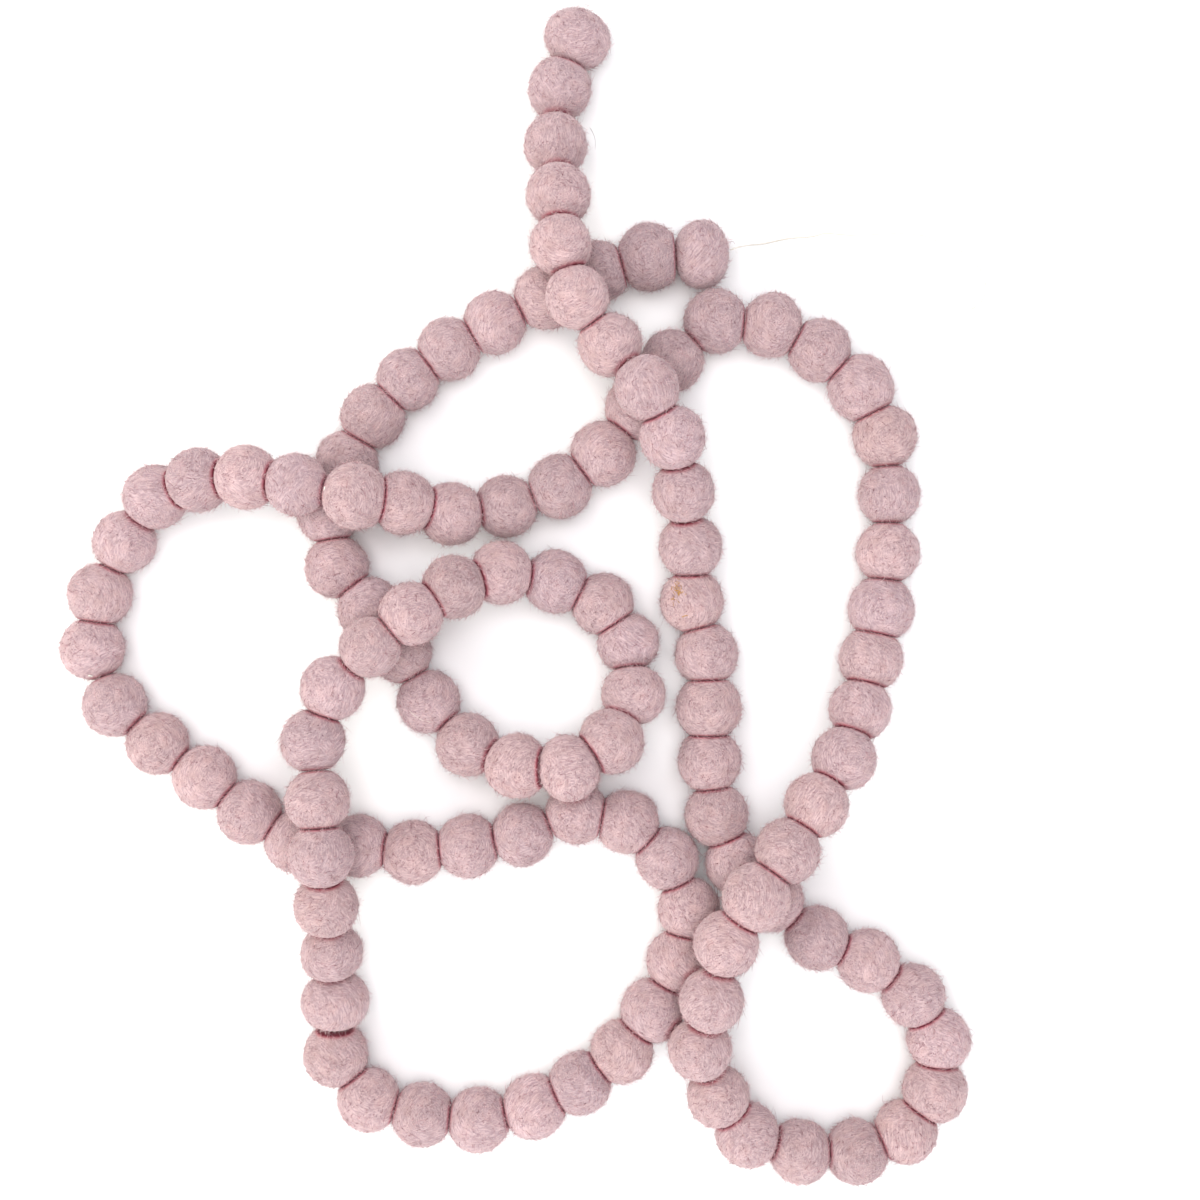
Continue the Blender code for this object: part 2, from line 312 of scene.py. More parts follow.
THREAD_ROUTE = (
    ThreadPoint(42.1, 113.0, 9.6),
    ThreadPoint(44.7, 114.2, 8.2),
    ThreadPoint(48.6, 115.6, 4.6),
    ThreadPoint(52.4, 116.6, 1.5),
    ThreadPoint(56.6, 117.6, 0.45),
    ThreadPoint(62.5, 118.8, 0.3),
    ThreadPoint(69.8, 119.4, 0.3),
    ThreadPoint(74.0, 120.4, 0.3),
    ThreadPoint(82.3, 119.8, 0.3),
    ThreadPoint(92.1, 120.1, 0.3),
    ThreadPoint(98.7, 120.4, 0.3),
    ThreadPoint(106.9, 119.4, 0.3),
    ThreadPoint(113.5, 116.5, 0.3),
    ThreadPoint(118.5, 114.5, 0.3),
    ThreadPoint(124.4, 109.2, 0.3),
    ThreadPoint(126.3, 105.0, 0.3),
    ThreadPoint(126.7, 101.3, 0.3),
    ThreadPoint(124.7, 97.4, 0.3),
    ThreadPoint(120.1, 94.4, 0.3),
)

# Balls whose wool is clearly darker and greyer, or paler and warmer, than that of their neighbours
TONES = (
    Tone(5, 0.03, 0.01),
    Tone(6, 0.03, 0.01),
    Tone(7, 0.02, 0.01),
    Tone(12, 0.01, 0.015),
    Tone(19, -0.03, -0.005),
    Tone(24, 0.02, 0.015),
    Tone(31, 0.02, 0.01),
    Tone(32, 0.01, 0.01),
    Tone(34, 0.02, 0.015),
    Tone(45, -0.04, -0.01),
    Tone(46, -0.04, 0.0),
    Tone(88, -0.03, -0.01),
    Tone(100, 0.02, 0.015),
    Tone(103, -0.04, 0.005),
    Tone(113, -0.04, -0.005),
    Tone(114, -0.06, -0.01),
)

DENTS = (
    Dent(55, -2.8, -4.6, 1.0, 0.8),
    Dent(50, -1.9, -1.6, 1.3, 0.4),
    Dent(23, -1.9, -5.2, 1.2, 0.4),
)

# The few hairs, and bits of the white thread, that stand out in the photograph
HAIRS = (
    Hair(12, Wool.STRAW, -3.6, -4.9, -1.6, -4.4, 0.2, 0.3),
    Hair(102, Wool.WHITE, -5.0, -2.5, 3.3, -6.1, -1.0, 0.16),
    Hair(96, Wool.WHITE, 4.2, -8.6, 7.4, -8.0, 0.3, 0.2),
    Hair(3, Wool.DARK, 11.0, 5.4, 12.6, -1.8, 0.8, 0.12),
    Hair(67, Wool.DEEP, 3.3, 9.3, 5.6, 11.6, 0.8, 0.12),
    Hair(67, Wool.PINK, 4.4, 9.0, 3.2, 12.2, -0.6, 0.1),
    Hair(111, Wool.DEEP, -0.6, -9.8, 1.6, -12.4, 0.7, 0.12),
    Hair(22, Wool.DEEP, 9.4, 3.4, 11.6, 1.6, 0.7, 0.12),
    Hair(22, Wool.PINK, 9.6, 1.0, 12.0, 3.3, -0.6, 0.1),
    Hair(24, Wool.DEEP, -6.0, 8.2, -7.4, 12.0, 0.8, 0.12),
    Hair(1, Wool.DEEP, 2.6, 8.6, 4.4, 11.0, 0.6, 0.12),
    Hair(1, Wool.PINK, 3.8, 8.2, 2.7, 10.8, -0.5, 0.1),
    Hair(115, Wool.DEEP, 8.6, 2.4, 11.0, 3.4, 0.4, 0.12),
    Hair(115, Wool.WHITE, 8.8, 1.0, 11.8, 0.2, 0.5, 0.14),
    Hair(115, Wool.PINK, 8.4, 3.4, 10.2, 5.2, -0.5, 0.1),
    Hair(53, Wool.WHITE, -8.7, 2.6, -9.2, 1.3, 0.2, 0.6),
    Hair(60, Wool.WHITE, 0.5, -8.5, 1.9, -8.8, 0.1, 0.9),
)


class Side(Enum):
    """Where a lamp stands, as a direction on the table, seen as in the photograph."""

    LEFT = (-1.0, 0.0)
    BOTTOM = (0.0, -1.0)
    TOP_LEFT = (-0.707, 0.707)
    TOP_RIGHT = (0.707, 0.707)
    OVERHEAD = (0.0, 0.0)


def linear(hex_colour: str) -> tuple[float, float, float, float]:
    """Turn an sRGB hex colour into linear light.

    Args:
        hex_colour: A colour such as "#C8AEB4".

    Returns:
        Red, green, blue and an alpha of 1.
    """
    channels = [int(hex_colour[k : k + 2], 16) / 255 for k in (1, 3, 5)]
    red, green, blue = (c / 12.92 if c <= 0.04045 else ((c + 0.055) / 1.055) ** 2.4 for c in channels)
    return red, green, blue, 1.0


def add_node(
    tree: Tree,
    kind: str,
    settings: dict[str, object] | None = None,
    links: dict[str | int, tuple[Node, str | int]] | None = None,
) -> Node:
    """Add a node with its settings and links.

    Args:
        tree: The node tree to add it to.
        kind: The shader node's type, such as "TexNoise".
        settings: Values by the name of a property or an input.
        links: For an input, by name or number, the node and the output that feed it.

    Returns:
        The new node.
    """
    node = tree.nodes.new("ShaderNode" + kind)
    for name, value in (settings or {}).items():
        if isinstance(name, str) and hasattr(node, name):
            setattr(node, name, value)
        else:
            node.inputs[name].default_value = value
    for name, (source, output) in (links or {}).items():
        tree.links.new(source.outputs[output], node.inputs[name])
    return node


def new_material(name: str, values: dict[str, object]) -> tuple[Material, Tree, Node]:
    """Make a material with a Principled shader.

    Args:
        name: What the material is.
        values: The shader's values by the name of the input.

    Returns:
        The material, its node tree and its shader.
    """
    material = bpy.data.materials.new(name)
    material.use_nodes = True
    shader = material.node_tree.nodes["Principled BSDF"]
    for socket, value in values.items():
        shader.inputs[socket].default_value = value
    return material, material.node_tree, shader


def new_piece(name: str, mesh: bpy.types.Mesh) -> Object:
    """Put a mesh into the scene as an object of its own.

    Args:
        name: The object's name.
        mesh: Its mesh.

    Returns:
        The new object.
    """
    piece = bpy.data.objects.new(name, mesh)
    bpy.context.scene.collection.objects.link(piece)
    return piece


def smooth_point(before: Stop, start: Stop, end: Stop, after: Stop, share: float) -> Vector:
    """Find the point at a share of the way from start to end, on a smooth curve through all four.

    Args:
        before: The stop before start: where it stands along the curve, and its point.
        start: The stop that the stretch leaves.
        end: The stop that it reaches.
        after: The stop after end.
        share: How far along the stretch, from 0 to 1.

    Returns:
        The point.
    """
    step = end[0] - start[0]
    leave = (end[1] - before[1]) * (step / (end[0] - before[0]))
    arrive = (after[1] - start[1]) * (step / (after[0] - start[0]))
    s2, s3 = share**2, share**3
    return (
        start[1] * (2 * s3 - 3 * s2 + 1)
        + leave * (s3 - 2 * s2 + share)
        + end[1] * (3 * s2 - 2 * s3)
        + arrive * (s3 - s2)
    )


def point_on(stops: Sequence[Stop], where: float) -> Vector:
    """Find a point of the smooth curve through some stops.

    Args:
        stops: Pairs of a place along the curve and a point.
        where: The place along the curve.

    Returns:
        The point there.
    """
    last = len(stops) - 1
    k = max(i for i in range(last) if stops[i][0] <= where)
    share = (where - stops[k][0]) / (stops[k + 1][0] - stops[k][0])
    return smooth_point(stops[max(k - 1, 0)], stops[k], stops[k + 1], stops[min(k + 2, last)], share)


@dataclass
class Ball:
    """One felt ball where it lies."""

    number: int
    middle: Vector
    half_width: float
    length_share: float
    back: Vector = field(default_factory=lambda: Vector((-1, 0, 0)))
    onward: Vector = field(default_factory=lambda: Vector((1, 0, 0)))
    faces: list[tuple[Vector, float]] = field(default_factory=list)


@dataclass(frozen=True)
class Layout:
    """How the string lies: the part's own sizes and rules."""

    ball_count: int = 115
    ball_width: float = 20.3 * MM
    width_spread: float = 0.4 * MM
    width_beat: float = 2.4
    width_drift: float = 0.7
    floor_press: float = 0.945
    crossing_press: float = 0.5 * MM
    side_by_side: float = 4.0 * MM
    touch_reach: float = 0.4 * MM
    touch_gap: float = 0.02 * MM

    def rise_at(self, number: float) -> float:
        """Find how far a crossing lifts a ball off the table.

        Args:
            number: The ball's number.

        Returns:
            The height in metres.
        """
        lifts = [0.0]
        for c in CROSSINGS:
            away = (c.over - number) / c.balls_up if number < c.over else (number - c.over) / c.balls_down
            if away < 1.0:
                lifts.append(c.rise_mm * MM * (0.5 + 0.5 * math.cos(math.pi * away)))
        return max(lifts)

    def size_of(self, number: int) -> tuple[float, float]:
        """Find a ball's size.

        Args:
            number: The ball's number.

        Returns:
            Its width across the string, and its length along it as a share of that.
        """
        for odd in ODD_BALLS:
            if odd.ball == number:
                return odd.width_mm * MM, odd.length_share
        wave = math.sin(self.width_beat * number) * math.cos(self.width_drift * number)
        return self.ball_width + self.width_spread * wave, 1.0

    def balls(self) -> list[Ball]:
        """Lay every ball, and find the faces where it is pressed.

        Returns:
            The balls in order along the string.
        """
        stops = [(row.ball, Vector((row.x_mm, row.y_mm, 0.0)) * MM + PICTURE_MIDDLE) for row in ROUTE]
        balls = []
        for number in range(1, self.ball_count + 1):
            width, share = self.size_of(number)
            middle = point_on(stops, number)
            middle.z = width / 2 * self.floor_press + self.rise_at(number)
            balls.append(Ball(number, middle, width / 2, share))
        for upper in balls:
            for lower in balls:
                if abs(upper.number - lower.number) > 1:
                    self.ride_up(upper, lower)
        for before, after in zip(balls, balls[1:], strict=False):
            before.onward = (after.middle - before.middle).normalized()
            after.back = -before.onward
        balls[0].back, balls[-1].onward = -balls[0].onward, -balls[-1].back
        for ball in balls:
            ball.faces = self.pressed_faces(ball, balls)
        return balls

    def ride_up(self, upper: Ball, lower: Ball) -> None:
        """Raise a ball that another one carries until the two only dent each other.

        Args:
            upper: The ball that may be raised.
            lower: The ball that may carry it.
        """
        reach = upper.half_width + lower.half_width - self.crossing_press
        apart = (upper.middle.xy - lower.middle.xy).length
        if apart < reach and upper.middle.z - lower.middle.z > self.side_by_side:
            upper.middle.z = max(upper.middle.z, lower.middle.z + math.sqrt(reach**2 - apart**2))

    def pressed_faces(self, ball: Ball, balls: Iterable[Ball]) -> list[tuple[Vector, float]]:
        """Find where a ball is pressed flat by the table and by other balls.

        Args:
            ball: The ball.
            balls: All balls.

        Returns:
            For each face its direction from the ball's middle, and its distance from it.
        """
        faces = [(Vector((0, 0, -1)), ball.middle.z)]
        for other in balls:
            towards = other.middle - ball.middle
            apart = towards.length
            if other is ball or apart > ball.half_width + other.half_width + self.touch_reach:
                continue
            half_way = apart / 2 + (ball.half_width**2 - other.half_width**2) / (2 * apart)
            faces.append((towards.normalized(), half_way - self.touch_gap))
        return faces


@dataclass(frozen=True)
class WetFeltedWool:
    """Merino wool rolled wet into a ball and felted: matt, with wound fibres that still show as rings.

    The eye sees a soft pale rim where loose fibres catch the light, faint short lines that run round the
    ball in a few directions, and small dark pores. Where two balls press together, a deep plum shade is
    painted into the colour.
    """

    name: str = "wet-felted merino wool"
    dark_fibre: str = "#9F858B"
    usual_fibre: str = "#B1989B"
    pale_fibre: str = "#C8AFB1"
    warm_fibre: str = "#BD9E9B"
    pore: str = "#7E636B"
    # painted shade: deep plum multiplied into the wool's colour in the crease where two balls press together
    seam_shade_tints: tuple[tuple[float, str], ...] = (
        (0.2, "#FFFFFF"),
        (0.5, "#F8E0E3"),
        (0.75, "#E6A6B2"),
        (0.97, "#9C3E54"),
    )
    # how unevenly the painted crease shade reaches out
    seam_shade_uneven: float = 0.35
    windings: tuple[tuple[float, float, float], ...] = ((0.0, 0.0, 0.0), (1.1, 0.5, 1.0), (0.4, 1.2, 2.0))
    patch_edge: Span = Span(0.56, 0.64)  # where one winding gives way to the next
    pore_edge: Span = Span(0.66, 0.76)
    line_contrast: Span = Span(0.25, 0.75)
    dark_below: float = 0.4
    usual_at: float = 0.76
    warm_patches: Span = Span(0.45, 0.8, 0.0, 0.6)
    mottling: Span = Span(0.3, 0.7, 0.92, 1.07)
    fleck_share: float = 0.55
    bump: float = 0.6
    gloss: float = 0.15
    # the size of the patches that make the painted crease shade uneven
    seam_shade_span_mm: float = 2.5
    patch_size: float = 1.5  # of the swirls
    patch_seed: float = 3.7
    warm_seed: float = 5.0
    # where the noise of the painted crease shade starts
    seam_shade_seed: float = 9.0
    roughness: float = 0.95
    diffuse_roughness: float = 0.5
    ior: float = 1.45
    sheen: float = 0.35
    sheen_roughness: float = 0.35
    sheen_tint: str = "#F3E3E4"
    line_spacing_mm: float = 0.36  # real fibres are 0.02 mm: bundles of them show as lines this far apart
    line_length_mm: float = 2.6
    fleck_mm: float = 0.3
    pore_mm: float = 0.75
    mottle_mm: float = 5.0
    swirl_mm: float = 8.0
    swirl_shift_mm: float = 1.6
    wobble_mm: float = 1.6
    wobble_shift_mm: float = 0.5
    line_height_mm: float = 0.11

    def material(self) -> Material:
        """Build the material.

        Returns:
            One material for all balls, which takes each ball's tint from its object.
        """
        values = {
            "Roughness": self.roughness,
            "Diffuse Roughness": self.diffuse_roughness,
            "IOR": self.ior,
            "Specular IOR Level": self.gloss,
            "Sheen Weight": self.sheen,
            "Sheen Roughness": self.sheen_roughness,
            "Sheen Tint": linear(self.sheen_tint),
        }
        material, tree, shader = new_material(self.name, values)
        place = add_node(tree, "TexCoord")
        in_mm = add_node(tree, "VectorMath", {"operation": "SCALE", "Scale": 1 / MM}, {0: (place, "Object")})
        swirled = self.shifted(tree, in_mm, self.swirl_mm, self.swirl_shift_mm)
        swirled = self.shifted(tree, swirled, self.wobble_mm, self.wobble_shift_mm)
        windings = [self.winding(tree, swirled, turn) for turn in self.windings]
        lines = self.patchwork(tree, in_mm, windings)
        fleck = self.noise(tree, swirled, self.fleck_mm, 2.0)
        pores = self.noise(tree, swirled, self.pore_mm, 1.0)
        pore = add_node(tree, "MapRange", self.pore_edge.ends(), {"Value": (pores, 0)})
        relief = add_node(
            tree, "Math", {"operation": "MULTIPLY_ADD", 1: self.fleck_share}, {0: (fleck, 0), 2: (lines, 0)}
        )
        height = add_node(tree, "Math", {"operation": "SUBTRACT"}, {0: (relief, 0), 1: (pore, 0)})
        colour = self.colour(tree, in_mm, relief, pore)
        bump = add_node(
            tree,
            "Bump",
            {"Strength": self.bump, "Distance": self.line_height_mm * MM},
            {"Height": (height, 0)},
        )
        tree.links.new(colour.outputs[2], shader.inputs["Base Color"])
        tree.links.new(bump.outputs[0], shader.inputs["Normal"])
        return material

    def noise(self, tree: Tree, where: Node, size_mm: float, detail: float, seed: float = 0.0) -> Node:
        """Add soft 4-D noise with features of one size, running from 0 to 1 and mostly near a half."""
        settings = {"noise_dimensions": "4D", "Scale": 1 / size_mm, "Detail": detail, "W": seed}
        return add_node(tree, "TexNoise", settings, {"Vector": (where, 0)})

    def shifted(self, tree: Tree, where: Node, size_mm: float, shift_mm: float) -> Node:
        """Shift a place by soft noise, so that what is drawn there swirls.

        Args:
            tree: The node tree.
            where: The node that gives the place in millimetres.
            size_mm: How large the swirls are.
            shift_mm: How far apart the places are that they bring together.

        Returns:
            The node that gives the shifted place.
        """
        swirl = self.noise(tree, where, size_mm, 1.0)
        shift = add_node(
            tree,
            "VectorMath",
            {"operation": "MULTIPLY_ADD", 1: (shift_mm,) * 3, 2: (-shift_mm / 2,) * 3},
            {0: (swirl, "Color")},
        )
        return add_node(tree, "VectorMath", {"operation": "ADD"}, {0: (where, 0), 1: (shift, 0)})

    def winding(self, tree: Tree, swirled: Node, turn: tuple[float, float, float]) -> Node:
        """Add one set of wound fibres: short lines that run in rings round an axis.

        Args:
            tree: The node tree.
            swirled: The node that gives the place in millimetres.
            turn: How the axis is turned, as Euler angles.

        Returns:
            A node whose first output is the lines' brightness.
        """
        turned = add_node(
            tree,
            "VectorRotate",
            {"rotation_type": "EULER_XYZ", "Rotation": turn},
            {"Vector": (swirled, 0)},
        )
        flat = add_node(tree, "VectorMath", {"operation": "MULTIPLY", 1: (1.0, 1.0, 0.0)}, {0: (turned, 0)})
        round_way = add_node(tree, "VectorMath", {"operation": "NORMALIZE"}, {0: (flat, 0)})
        from_axis = add_node(tree, "VectorMath", {"operation": "LENGTH"}, {0: (flat, 0)})
        parts = add_node(tree, "SeparateXYZ", links={0: (turned, 0)})
        tilt = add_node(tree, "Math", {"operation": "ARCTAN2"}, {0: (from_axis, "Value"), 1: (parts, "Z")})
        half_width_mm = Layout().ball_width / 2 / MM
        across = add_node(
            tree,
            "Math",
            {"operation": "MULTIPLY", 1: half_width_mm / self.line_spacing_mm},
            {0: (tilt, 0)},
        )
        along = add_node(
            tree,
            "VectorMath",
            {"operation": "SCALE", "Scale": half_width_mm / self.line_length_mm},
            {0: (round_way, 0)},
        )
        lift = add_node(tree, "CombineXYZ", links={"Z": (across, 0)})
        where = add_node(tree, "VectorMath", {"operation": "ADD"}, {0: (along, 0), 1: (lift, 0)})
        lines = add_node(
            tree,
            "TexNoise",
            {"Scale": 1.0, "Detail": 2.0, "Roughness": 0.6},
            {"Vector": (where, 0)},
        )
        return add_node(tree, "MapRange", self.line_contrast.ends(), {"Value": (lines, 0)})

    def patchwork(self, tree: Tree, in_mm: Node, windings: Sequence[Node]) -> Node:
        """Let each set of wound fibres show in its own soft-edged patches.

        Args:
            tree: The node tree.
            in_mm: The node that gives the place in millimetres.
            windings: The sets of fibres.

        Returns:
            A node whose first output is the brightness of all the lines.
        """
        shown = windings[0]
        for k, winding in enumerate(windings[1:], 1):
            patch = self.noise(tree, in_mm, self.swirl_mm * self.patch_size, 1.0, self.patch_seed * k)
            edge = add_node(tree, "MapRange", self.patch_edge.ends(), {"Value": (patch, 0)})
            shown = add_node(tree, "Mix", links={0: (edge, 0), 2: (shown, 0), 3: (winding, 0)})
        return shown

    def colour(self, tree: Tree, in_mm: Node, relief: Node, pore: Node) -> Node:
        """Add the wool's colour: lines, large soft mottling, pores, the ball's tint, and painted plum shade
        at the pressed faces.

        Args:
            tree: The node tree.
            in_mm: The node that gives the place in millimetres.
            relief: The node that gives the height of the lines and flecks.
            pore: The node that is 1 in the small pores.

        Returns:
            A Mix node whose colour output is the wool's, with the painted crease shade multiplied in.
        """
        ramp = add_node(tree, "ValToRGB", links={0: (relief, 0)})
        stops = ramp.color_ramp.elements
        stops[0].position, stops[0].color = self.dark_below, linear(self.dark_fibre)
        stops[1].position, stops[1].color = 1.0, linear(self.pale_fibre)
        stops.new(self.usual_at).color = linear(self.usual_fibre)
        warm_patch = self.noise(tree, in_mm, self.mottle_mm, 1.0, self.warm_seed)
        warmth = add_node(tree, "MapRange", self.warm_patches.ends(), {"Value": (warm_patch, 0)})
        warmed = add_node(
            tree,
            "Mix",
            {"data_type": "RGBA", 7: linear(self.warm_fibre)},
            {0: (warmth, 0), 6: (ramp, 0)},
        )
        pored = add_node(
            tree,
            "Mix",
            {"data_type": "RGBA", 7: linear(self.pore)},
            {0: (pore, 0), 6: (warmed, 2)},
        )
        mottle = self.noise(tree, in_mm, self.mottle_mm, 2.0)
        shade = add_node(tree, "MapRange", self.mottling.ends(), {"Value": (mottle, 0)})
        own = add_node(tree, "ObjectInfo")
        tint = add_node(tree, "VectorMath", {"operation": "SCALE"}, {0: (own, "Color"), "Scale": (shade, 0)})
        tinted = add_node(tree, "VectorMath", {"operation": "MULTIPLY"}, {0: (pored, 2), 1: (tint, 0)})
        # painted shade: deep plum, multiplied in unevenly where the balls press together
        press = add_node(tree, "Attribute", {"attribute_name": "pressed"})
        uneven = self.noise(tree, in_mm, self.seam_shade_span_mm, 2.0, self.seam_shade_seed)
        shift = add_node(
            tree,
            "Math",
            {"operation": "MULTIPLY_ADD", 1: self.seam_shade_uneven, 2: -self.seam_shade_uneven / 2},
            {0: (uneven, 0)},
        )
        deep = add_node(tree, "Math", {"operation": "ADD"}, {0: (press, "Fac"), 1: (shift, 0)})
        seam = add_node(tree, "ValToRGB", links={0: (deep, 0)})
        steps = seam.color_ramp.elements
        for k, (place, tint_here) in enumerate(self.seam_shade_tints):
            step = steps[k] if k < 2 else steps.new(place)
            step.position, step.color = place, linear(tint_here)
        return add_node(
            tree,
            "Mix",
            {"data_type": "RGBA", "blend_type": "MULTIPLY", 0: 1.0},
            {6: (tinted, 0), 7: (seam, 0)},
        )


@dataclass(frozen=True)
class LooseFibre:
    """Single wool fibres that stand off the felt: matt; the paler ones are painted paler than the felt for
    the light that passes through them.
    """

    wool: Wool
    roughness: float = 0.9
    ior: float = 1.45
    gloss: float = 0.15
    patch_mm: float = 4.0
    mottling: Span = Span(0.3, 0.7, 0.85, 1.1)

    def material(self) -> Material:
        """Build the material.

        Returns:
            The material of one wool.
        """
        values = {"Roughness": self.roughness, "IOR": self.ior, "Specular IOR Level": self.gloss}
        material, tree, shader = new_material(f"loose wool fibre, {self.wool.name.lower()}", values)
        place = add_node(tree, "TexCoord")
        settings = {"Scale": 1 / (self.patch_mm * MM), "Detail": 1.0}
        patch = add_node(tree, "TexNoise", settings, {"Vector": (place, "Object")})
        shade = add_node(tree, "MapRange", self.mottling.ends(), {"Value": (patch, 0)})
        dye = add_node(
            tree,
            "VectorMath",
            {"operation": "SCALE", 0: linear(self.wool.value)[:3]},
            {"Scale": (shade, 0)},
        )
        tree.links.new(dye.outputs[0], shader.inputs["Base Color"])
        return material


@dataclass(frozen=True)
class CottonThread:
    """Undyed spun cotton thread: off-white, matt, with a fine twist that shades one side of each ply."""

    name: str = "spun cotton thread, undyed"
    light: str = "#F5F1EA"
    shade: str = "#CFC6BA"
    roughness: float = 0.85
    ior: float = 1.53
    speck_mm: float = 0.4

    def material(self) -> Material:
        """Build the material.

        Returns:
            The thread's material.
        """
        material, tree, shader = new_material(self.name, {"Roughness": self.roughness, "IOR": self.ior})
        place = add_node(tree, "TexCoord")
        speck = add_node(
            tree,
            "TexNoise",
            {"Scale": 1 / (self.speck_mm * MM), "Detail": 2.0},
            {"Vector": (place, "Object")},
        )
        dye = add_node(
            tree,
            "Mix",
            {"data_type": "RGBA", 6: linear(self.shade), 7: linear(self.light)},
            {0: (speck, 0)},
        )
        tree.links.new(dye.outputs[2], shader.inputs["Base Color"])
        return material


@dataclass(frozen=True)
class BallShape:
    """The form of a felt ball: round, lumpy, and pressed flat with soft edges where it touches.

    Its mesh has rings round the string, which lie closest together where the next ball touches.
    """

    ring_points: int = 30
    face_rings: int = 4
    side_rings: int = 12
    ring_crowding: float = 1.5
    bend_from: float = math.radians(50.0)  # rings stay square to the touching ball up to this far from it
    farthest_face: float = 0.99  # a pressed face counts as no farther than this share of half a width
    open_end: float = math.radians(30.0)  # where rings crowd at an end that nothing touches
    edge_softness: float = 70.0  # the higher, the sharper the edge of a pressed face
    lump_heights_mm: tuple[float, ...] = (0.13, 0.06, 0.03)
    lump_spans_mm: tuple[float, ...] = (12.0, 5.5, 2.6)
    waves_per_span: int = 5
    widest_phase: float = 6.3
    steepest: float = 0.05  # keeps a pressed face from reaching round to the ball's far side
    facing: float = 0.999  # how closely a face's direction agrees with the neighbour's
    # the plum colour is painted shade of the crease between pressed balls
    press_reach_mm: float = 1.7  # how far outside a pressed face its plum colour begins

    def tilts(self, ball: Ball, towards: Vector) -> list[float]:
        """List the rings of one half of a ball, as angles from where the next ball touches.

        Args:
            ball: The ball.
            towards: The direction of the ball that touches it there.

        Returns:
            The angles, without the middle's and the end's.
        """
        limits = [limit for way, limit in ball.faces if way.dot(towards) > self.facing]
        edge = math.acos(min(limits[0] / ball.half_width, self.farthest_face)) if limits else self.open_end
        nearer = [1 - k / self.face_rings for k in range(1, self.face_rings)]
        inside = [edge * (1 - share**self.ring_crowding) for share in nearer]
        span = math.pi / 2 - edge
        outside = [edge + span * (k / self.side_rings) ** self.ring_crowding for k in range(self.side_rings)]
        return inside + outside

    def directions(self, ball: Ball) -> tuple[np.ndarray, list[Face]]:
        """Make the directions of a ball's points from its middle, and its faces.

        Args:
            ball: The ball.

        Returns:
            The directions, and faces as point numbers.
        """
        back, onward = ball.back, ball.onward
        tilts = [*self.tilts(ball, back), math.pi / 2]
        tilts += [math.pi - tilt for tilt in reversed(self.tilts(ball, onward))]
        ways = [back]
        for tilt in tilts:
            share = (tilt - self.bend_from) / (math.pi - 2 * self.bend_from)
            share = min(max(share, 0.0), 1.0)
            axis = back.slerp(-onward, share * share * (3 - 2 * share))
            side = axis.cross(Vector((0, 0, 1))).normalized()
            top = side.cross(axis)
            for k in range(self.ring_points):
                turn = 2 * math.pi * k / self.ring_points
                across = side * math.cos(turn) + top * math.sin(turn)
                ways.append(axis * math.cos(tilt) + across * math.sin(tilt))
        ways.append(onward)
        return np.array(ways), self.faces(len(tilts))

    def faces(self, rings: int) -> list[Face]:
        """List the faces between some rings and the two ends.

        Args:
            rings: How many rings there are.

        Returns:
            Faces as point numbers.
        """
        n = self.ring_points
        last = rings * n + 1
        faces: list[Face] = []
        for k in range(n):
            after = (k + 1) % n
            faces.append((0, 1 + after, 1 + k))
            faces.append((last, last - n + k, last - n + after))
            for ring in range(rings - 1):
                low = 1 + ring * n
                faces.append((low + k, low + after, low + n + after, low + n + k))
        return faces

    def lumps(self, ways: np.ndarray, seed: int) -> np.ndarray:
        """Find how far a ball's uneven surface stands out.

        Args:
            ways: Directions from the ball's middle.
            seed: Which ball's lumps.

        Returns:
            Heights in metres, in and out of the round form.
        """
        random = np.random.default_rng(seed)
        half_width_mm = Layout().ball_width / 2 / MM
        total = np.zeros(len(ways))
        for height, span in zip(self.lump_heights_mm, self.lump_spans_mm, strict=True):
            for _ in range(self.waves_per_span):
                way = random.normal(size=3)
                way *= 2 * math.pi * half_width_mm / span / np.linalg.norm(way)
                phase = random.uniform(0, self.widest_phase)
                total += height / math.sqrt(self.waves_per_span) * np.sin(ways @ way + phase)
        return total * MM

    def distances(self, ball: Ball, ways: np.ndarray) -> tuple[np.ndarray, np.ndarray]:
        """Find how far the surface lies from a ball's middle.

        Args:
            ball: The ball.
            ways: Directions from its middle.

        Returns:
            The distances, and from 0 to 1 how much each place is pressed by another ball.
        """
        along = ways @ np.array((ball.onward - ball.back).normalized())
        free = ball.half_width / np.sqrt((along / ball.length_share) ** 2 + 1 - along**2)
        free = free + self.lumps(ways, ball.number)
        total = free**-self.edge_softness
        pressed = np.zeros(len(ways))
        for k, (way, limit) in enumerate(ball.faces):
            towards = np.maximum(ways @ np.array(way), self.steepest)
            total = total + (limit / towards) ** -self.edge_softness
            if k > 0:
                # this share sets the painted plum crease shade, and keeps loose fibres off the crease
                over = (free - limit / towards) / MM / self.press_reach_mm + 1.0
                pressed = np.maximum(pressed, np.clip(over, 0.0, 1.0))
        reach = total ** (-1 / self.edge_softness)
        for dent in DENTS:
            if dent.ball == ball.number:
                reach = reach - self.dent_depths(ball, dent, ways)
        return reach, pressed

    def dent_depths(self, ball: Ball, dent: Dent, ways: np.ndarray) -> np.ndarray:
        """Find how deep a small pit is.

        Args:
            ball: The ball that has it.
            dent: The pit.
            ways: Directions from the ball's middle.

        Returns:
            The depth at each direction, in metres.
        """
        flat = Vector((dent.right_mm, dent.up_mm)) * MM
        height = math.sqrt(max(ball.half_width**2 - flat.length_squared, 0.0))
        way = np.array(Vector((flat.x, flat.y, height)).normalized())
        away = np.arccos(np.clip(ways @ way, -1, 1)) * ball.half_width / (dent.radius_mm * MM)
        return dent.depth_mm * MM * np.exp(-(away**2))


